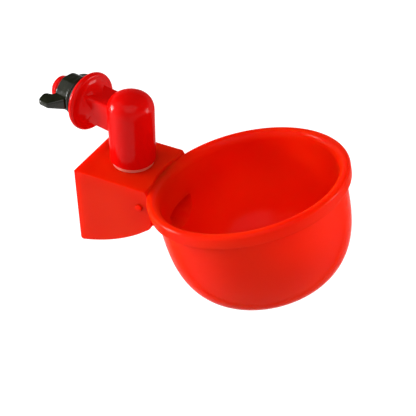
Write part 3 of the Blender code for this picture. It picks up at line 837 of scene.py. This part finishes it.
@dataclass
class DrinkingCup:
    """Bowl with its lip, float chamber and the throat between them, in one moulding.

    The cup's frame has its origin on the swivel's axis at the chamber's top, and its X towards the bowl.
    The bowl's own frame is pitched in it and starts at the rim. tuck keeps two faces out of one plane.
    """

    wall: float = 1.7
    rim_radius: float = 32.48
    lip_height: float = 4.75
    lip_step: float = 2.0
    lip_crown: float = 1.2
    lip_foot: float = 1.2
    flare_width: float = 2.3
    flare_depth: float = 3.5
    depth: float = 38.29
    straight: float = 10.8
    flat_radius: float = 10.2
    fullness: float = 2.7
    pitch: float = 16.2
    reach: float = 40.8
    rise: float = 7.4
    width: float = 27.0
    back: float = 14.9
    top_length: float = 26.6
    length: float = 28.5
    back_depth: float = 30.0
    front_depth: float = 14.7
    floor_radius: float = 66.0
    heel: float = 1.0
    toe: float = 3.0
    corner: float = 0.3
    chamfer_run: float = 1.6
    chamfer_drop: float = 2.4
    lip_support: float = 4.5
    top_plate: float = 1.8
    passage_width: float = 14.6
    passage_top: float = 12.5
    passage_height: float = 7.9
    passage_round: float = 7.0
    throat_length: float = 6.0
    throat_heel: float = 11.5
    shoulder_depth: float = 9.0
    shoulder_round: float = 2.0
    spigot_hole: float = 4.55
    pin_hole: float = 1.35
    pin_radius: float = 1.2
    pin_proud: float = 1.0
    pin_dome: float = 0.7
    gate_radius: float = 2.4
    gate_depth: float = 0.35
    gate_stub: float = 0.96
    tuck: float = 0.03
    corner_clear: float = 1.5
    turn_steps: int = 192
    wall_steps: int = 36
    flare_steps: int = 16
    lip_foot_steps: int = 8
    lip_crown_steps: int = 10
    floor_steps: int = 24
    corner_steps: int = 8
    throat_steps: int = 10
    passage_steps: int = 12
    pin_steps: int = 6

    @property
    def front(self) -> float:
        """Where the chamber's front wall stands, from the swivel axis."""
        return self.length - self.back

    def bowl_wall(self, offset: float, top: float) -> list[Point]:
        """Outline of the bowl's wall, from the middle of its floor up.

        Args:
            offset: how far inside the outer wall it lies.
            top: the height at which it ends, counted from the rim.

        Returns:
            Points as (radius, height).
        """
        body = self.rim_radius - self.lip_step
        rise = self.depth - self.straight - offset
        run = body - self.flat_radius - offset
        side = body - offset
        points = [(0, -self.depth + offset), (self.flat_radius, -self.depth + offset)]
        curve = quarter(rise, run, self.fullness, self.wall_steps)[1:-1]
        points += [(self.flat_radius + out, -self.straight - down) for down, out in curve]
        return points + [(side, -self.straight), (side, (top - self.straight) / 2), (side, top)]

    def flare(self) -> list[Point]:
        """Outline of the rounded mouth, from the bowl's inner wall up and out to the top of the lip.

        Returns:
            Points as (radius, height).
        """
        mouth = self.rim_radius - self.lip_step - self.wall
        turns = (math.pi / 2 * step / self.flare_steps for step in range(self.flare_steps + 1))
        return [(mouth + self.flare_width * (1 - math.cos(turn)), self.flare_depth * (math.sin(turn) - 1))
                for turn in turns]

    def lip(self) -> list[Point]:
        """Outline of the lip's outside, from under its foot up and in over its crown.

        Returns:
            Points as (radius, height).
        """
        radius, foot, crown = self.rim_radius, self.lip_foot, self.lip_crown
        points = arc((radius - foot, -self.lip_height + foot), foot, -90, 0, self.lip_foot_steps)
        return points + arc((radius - crown, -crown), crown, 0, 90, self.lip_crown_steps)

    def gate_mark(self) -> list[Point]:
        """Outline of the shallow recess under the bowl, with the stub where the mould was filled.

        Returns:
            Points as (radius, height), from the middle out. The stub ends inside the recess.
        """
        low = -self.depth
        roof = low + self.gate_depth
        stub_low = low + self.gate_depth / 3
        return [(0, stub_low), (self.gate_stub, stub_low), (self.gate_stub, roof), (self.gate_radius, roof),
                (self.gate_radius + self.gate_depth, low)]

    def floor_arc(self, offset: float) -> list[Point]:
        """The chamber's rising floor, which is an arc from its heel to its front.

        Args:
            offset: how far inside the outer wall it lies.

        Returns:
            Points as (x, z) in the cup's frame.
        """
        back = Vector((-self.back, -self.back_depth))
        chord = Vector((self.front, -self.front_depth)) - back
        rise = math.sqrt(self.floor_radius ** 2 - (chord.length / 2) ** 2)
        centre = back + chord / 2 + Vector((-chord.y, chord.x)).normalized() * rise
        radius = self.floor_radius - offset
        low = -self.back + offset
        span = self.length - 2 * offset
        across = (low + span * step / self.floor_steps for step in range(self.floor_steps + 1))
        return [(x, centre.y - math.sqrt(radius ** 2 - (x - centre.x) ** 2)) for x in across]

    def chamber_outline(self, offset: float) -> list[Corner]:
        """The lower part of the chamber's side outline: its heel, its floor and its toe.

        Args:
            offset: how far inside the outer wall it lies.

        Returns:
            Corners as (x, z, radius), from the back to the front. Points too near a round are left out.
        """
        floor = self.floor_arc(offset)
        back = -self.back + offset
        front = self.front - offset
        low = back + self.corner_clear * self.heel
        high = front - self.corner_clear * self.toe
        middle = [(x, z, 0) for x, z in floor if low < x < high]
        return [(back, floor[0][1], self.heel - offset), *middle, (front, floor[-1][1], self.toe - offset)]

    def chamber(self) -> Blank:
        """The chamber's outside with its support under the lip.

        Returns:
            A solid block, which is hollowed later.
        """
        web = -self.shoulder_depth + self.shoulder_round
        reach = self.front + self.lip_support
        shell = self.chamber_outline(0) + [
            (self.front, web, 0), (reach, web, 0), (reach, -self.lip_height, 0),
            (-self.back + self.top_length + self.chamfer_run, -self.chamfer_drop, 0),
            (-self.back + self.top_length, 0, 0), (-self.back, 0, 0),
        ]
        side = self.width / 2
        outline = filleted(shell, self.corner_steps)
        return Blank("chamber_form").extrude(outline, -side, side, Axis.Y).soften(self.corner)

    def throat(self) -> Blank:
        """The throat's outside: as wide as the chamber under the lip, then a half-round.

        Returns:
            A bar from inside the chamber to the bowl.
        """
        side = self.width / 2 - self.tuck
        half = self.passage_width / 2 + self.wall
        low = -self.passage_top - self.passage_height - self.wall
        slope_end = -self.shoulder_depth - (side - half)
        right = [
            (side, -self.lip_height, 0.0), (side, -self.shoulder_depth, self.shoulder_round),
            (half, slope_end, self.shoulder_round), (half, low, self.passage_round + self.wall),
        ]
        left = [(-y, z, radius) for y, z, radius in reversed(right)]
        return Blank("throat_form").extrude(
            filleted(right + left, self.throat_steps), self.front - self.throat_heel,
            self.front + self.throat_length, Axis.X,
        )

    def passage(self) -> Blank:
        """The water passage, flat on top and half-round below.

        Returns:
            Its cutter, which reaches through the throat and the bowl's wall.
        """
        half = self.passage_width / 2
        low = -self.passage_top - self.passage_height
        corners = [(half, -self.passage_top, 0), (half, low, self.passage_round),
                   (-half, low, self.passage_round), (-half, -self.passage_top, 0)]
        start = self.front - self.throat_heel
        end = self.front + self.throat_length + self.wall
        return Blank("water_passage").extrude(filleted(corners, self.passage_steps), start, end, Axis.X)

    def hollow(self) -> Blank:
        """The inside of the chamber.

        Returns:
            Its cutter, which leaves the walls and the top plate.
        """
        roof = [(self.front - self.wall, -self.top_plate, 0), (-self.back + self.wall, -self.top_plate, 0)]
        side = self.width / 2 - self.wall
        outline = filleted(self.chamber_outline(self.wall) + roof, self.corner_steps)
        return Blank("chamber_hollow").extrude(outline, -side, side, Axis.Y)

    def build(self, dresser: Dresser) -> None:
        """Build the cup in the place of its CAD node, and its pin.

        Args:
            dresser: finishes each piece.
        """
        place = swivel_matrix()
        pitch = Matrix.Rotation(math.radians(-self.pitch), 4, "Y")
        tilt = place @ Matrix.Translation((self.reach, 0, self.rise)) @ pitch
        outer = self.gate_mark() + self.bowl_wall(0, -self.lip_height)[1:] + self.lip() + [(0, 0)]
        cup = Blank("cup_with_chamber").spin(outer, Axis.Z, self.turn_steps).place(tilt)
        for form in (self.chamber(), self.throat()):
            cup.add(form.place(place))
        inner = self.bowl_wall(self.wall, -self.lip_height) + self.flare()
        inner += [(inner[-1][0], self.lip_height), (0, self.lip_height)]
        cup.cut(Blank("bowl_cavity").spin(inner, Axis.Z, self.turn_steps).place(tilt))
        cup.cut(self.hollow().place(place)).cut(self.passage().place(place))
        hole, plate = self.spigot_hole, self.top_plate
        spigot = [(0, -2 * plate), (hole, -2 * plate), (hole, plate), (0, plate)]
        cup.cut(Blank("spigot_hole").spin(spigot, Axis.Z, SMALL_STEPS).place(place))
        hinge = Matrix.Translation(joint_spot("float_hinge")) @ place.to_3x3().to_4x4()
        across = hinge @ Matrix.Rotation(math.pi / 2, 4, "X")
        pin = [(0, -self.width), (self.pin_hole, -self.width), (self.pin_hole, self.width), (0, self.width)]
        cup.cut(Blank("pin_hole").spin(pin, Axis.Z, SMALL_STEPS).place(across))
        dresser.dress(cup, CUP_RED, "cup", "cup_body")
        self.build_pin(dresser, across)

    def build_pin(self, dresser: Dresser, across: Matrix) -> None:
        """Build the float's pin with its domed ends.

        Args:
            dresser: finishes the pin.
            across: where the pin's own frame stands, with its Z along the hinge.
        """
        radius, dome, steps = self.pin_radius, self.pin_dome, self.pin_steps
        end = self.width / 2 + self.pin_proud
        profile = [(0, -end), *arc((radius - dome, -end + dome), dome, -90, 0, steps),
                   *arc((radius - dome, end - dome), dome, 0, 90, steps), (0, end)]
        pin = Blank("hinge_pin").spin(profile, Axis.Z, SMALL_STEPS).place(across)
        dresser.dress(pin, CUP_RED, "cup", "float_pin")


@dataclass(frozen=True)
class Softbox:
    """One lamp: where it stands round the object in degrees, and its distance, size and power."""

    name: str
    azimuth: float
    elevation: float
    distance: float
    size: float
    power: float


# As the camera sees them: a lamp low at the left, a weaker one low at the right, a large one overhead, and
# a very large one higher at the left, which softens the shadows.
KEY = Softbox("left_softbox", -64, 9, 0.9, 0.25, 9.5)
RIM = Softbox("right_softbox", 128, 6, 0.9, 0.28, 3.5)
TOP = Softbox("overhead_softbox", 36, 57, 0.9, 0.85, 3.8)
FILL = Softbox("broad_softbox", -45, 35, 1.2, 1.2, 3.2)


@dataclass
class Studio:
    """Camera, floor, lamps and background, with places in metres and angles in degrees."""

    azimuth: float = 36.78
    elevation: float = 38.97
    roll: float = 1.276
    distance: float = 0.260
    lens: float = 69.2
    sensor: float = 36.0
    clip_start: float = 0.01
    target: Spot = (0.048844, 0.002528, -0.023188)
    floor_drop: float = 0.075
    floor_size: float = 8.0
    floor_steps: int = 64
    paper: str = "D8D8D8"
    paper_glow: float = 0.55
    near_floor: float = 0.7
    far_floor: float = 1.6
    far_glow: float = 0.86
    sky: str = "FFFFFF"
    sky_light: float = 0.27
    sky_low: float = 0.1
    sky_high: float = 0.5
    sky_horizon: float = 1.0
    sky_zenith: float = 0.05

    def around(self, azimuth: float, elevation: float) -> Matrix:
        """The turn that looks back at the object from an azimuth and an elevation in degrees."""
        return (Matrix.Rotation(math.radians(azimuth), 4, "Z")
                @ Matrix.Rotation(math.radians(90 - elevation), 4, "X"))

    def camera(self) -> None:
        """Set the camera where the photograph's stood."""
        data = bpy.data.cameras.new("camera")
        data.lens = self.lens
        data.sensor_width = self.sensor
        data.clip_start = self.clip_start
        view = bpy.data.objects.new("camera", data)
        bpy.context.scene.collection.objects.link(view)
        turn = self.around(self.azimuth, self.elevation) @ Matrix.Rotation(math.radians(self.roll), 4, "Z")
        view.matrix_world = (Matrix.Translation(self.target) @ turn
                             @ Matrix.Translation((0, 0, self.distance)))
        bpy.context.scene.camera = view

    def lamp(self, softbox: Softbox) -> None:
        """Hang one softbox that looks at the object.

        Args:
            softbox: the lamp's place, size and power.
        """
        data = bpy.data.lights.new(softbox.name, "AREA")
        data.size = softbox.size
        data.energy = softbox.power
        light = bpy.data.objects.new(softbox.name, data)
        light.visible_camera = False
        bpy.context.scene.collection.objects.link(light)
        turn = self.around(softbox.azimuth, softbox.elevation)
        light.matrix_world = (Matrix.Translation(self.target) @ turn
                              @ Matrix.Translation((0, 0, softbox.distance)))

    def seen(self, tree: bpy.types.NodeTree) -> bpy.types.NodeSocket:
        """Tell the rays that show something from those that only light the object.

        Args:
            tree: the node tree that gets the nodes.

        Returns:
            One where a ray is the camera's, or comes off gloss or through glass, and nought elsewhere.
        """
        path = add_node(tree, "ShaderNodeLightPath").outputs
        found = path["Is Camera Ray"]
        for name in ("Is Glossy Ray", "Is Transmission Ray"):
            either = add_node(tree, "ShaderNodeMath", {"operation": "MAXIMUM"})
            tree.links.new(found, either.inputs[0])
            tree.links.new(path[name], either.inputs[1])
            found = either.outputs["Value"]
        return found

    def paper_material(self) -> bpy.types.Material:
        """Matt paper that shows white to the camera, the more so far off, and still takes a soft shadow.

        Returns:
            The floor's material.
        """
        material = bpy.data.materials.new("white_paper")
        material.use_nodes = True
        tree = material.node_tree
        tree.nodes.clear()
        spot = add_node(tree, "ShaderNodeTexCoord").outputs["Object"]
        reach = add_node(
            tree, "ShaderNodeVectorMath", {"operation": "LENGTH"}, {"Vector": spot}
        ).outputs["Value"]
        lift = add_node(
            tree, "ShaderNodeMapRange",
            {"From Min": self.near_floor, "From Max": self.far_floor, "To Min": self.paper_glow,
             "To Max": self.far_glow},
            {"Value": reach},
        )
        strength = add_node(
            tree, "ShaderNodeMapRange", {}, {"Value": self.seen(tree), "To Max": lift.outputs["Result"]}
        )
        glow = add_node(tree, "ShaderNodeEmission", {}, {"Strength": strength.outputs["Result"]})
        paper = add_node(tree, "ShaderNodeBsdfDiffuse", {"Color": srgb(self.paper)})
        both = add_node(tree, "ShaderNodeAddShader")
        tree.links.new(paper.outputs["BSDF"], both.inputs[0])
        tree.links.new(glow.outputs["Emission"], both.inputs[1])
        add_node(tree, "ShaderNodeOutputMaterial", {}, {"Surface": both.outputs["Shader"]})
        return material

    def floor(self) -> None:
        """Lay the pale floor under the object."""
        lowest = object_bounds()[0][2]
        shape = bmesh.new()
        bmesh.ops.create_circle(shape, cap_ends=True, segments=self.floor_steps, radius=self.floor_size)
        bmesh.ops.translate(shape, vec=(0, 0, lowest - self.floor_drop), verts=shape.verts)
        mesh = bpy.data.meshes.new("floor")
        shape.to_mesh(mesh)
        shape.free()
        mesh.materials.append(self.paper_material())
        thing = bpy.data.objects.new("floor", mesh)
        bpy.context.scene.collection.objects.link(thing)
        thing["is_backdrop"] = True

    def world(self) -> None:
        """Surround the set with a sweep that shows white at the horizon and greys overhead."""
        world = bpy.data.worlds.new("sweep")
        bpy.context.scene.world = world
        world.use_nodes = True
        tree = world.node_tree
        spot = add_node(tree, "ShaderNodeTexCoord").outputs["Generated"]
        height = add_node(tree, "ShaderNodeSeparateXYZ", {}, {"Vector": spot}).outputs["Z"]
        shade = add_node(
            tree, "ShaderNodeMapRange",
            {"From Min": self.sky_low, "From Max": self.sky_high, "To Min": self.sky_horizon,
             "To Max": self.sky_zenith},
            {"Value": height},
        )
        strength = add_node(
            tree, "ShaderNodeMapRange", {"To Min": self.sky_light},
            {"Value": self.seen(tree), "To Max": shade.outputs["Result"]},
        )
        backdrop = tree.nodes["Background"].inputs
        backdrop["Color"].default_value = srgb(self.sky)
        tree.links.new(strength.outputs["Result"], backdrop["Strength"])

    def build(self) -> None:
        """Set up the whole studio."""
        bpy.context.scene.view_settings.view_transform = "Standard"
        self.camera()
        self.floor()
        self.world()
        for softbox in (KEY, RIM, TOP, FILL):
            self.lamp(softbox)
        LOG.info("set up the studio")


def main() -> None:
    """Build the waterer's looks and its studio."""
    logging.basicConfig(level=logging.INFO, format="%(name)s %(levelname)s %(message)s")
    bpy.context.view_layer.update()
    dresser = Dresser({})
    Studio().build()
    InletElbow().build(dresser)
    rest = Matrix.Identity(4)
    swivel = Matrix.Translation(joint_spot("cup_swivel"))
    WALL_SEAL.build(dresser, RUBBER_BLACK, "inlet", "gasket", rest)
    THRUST_WASHER.build(dresser, RUBBER_BLACK, "clamp_washer", "gasket", rest)
    WingNut().build(dresser)
    SWIVEL_SEAL.build(dresser, SILICONE, "inlet", "washer", swivel)
    dresser.paint("swivel_clip", ACETAL)
    DrinkingCup().build(dresser)
    dresser.paint("float", FLOAT_RED)
    dresser.paint("valve_pad", SILICONE)


if __name__ == "__main__":
    main()
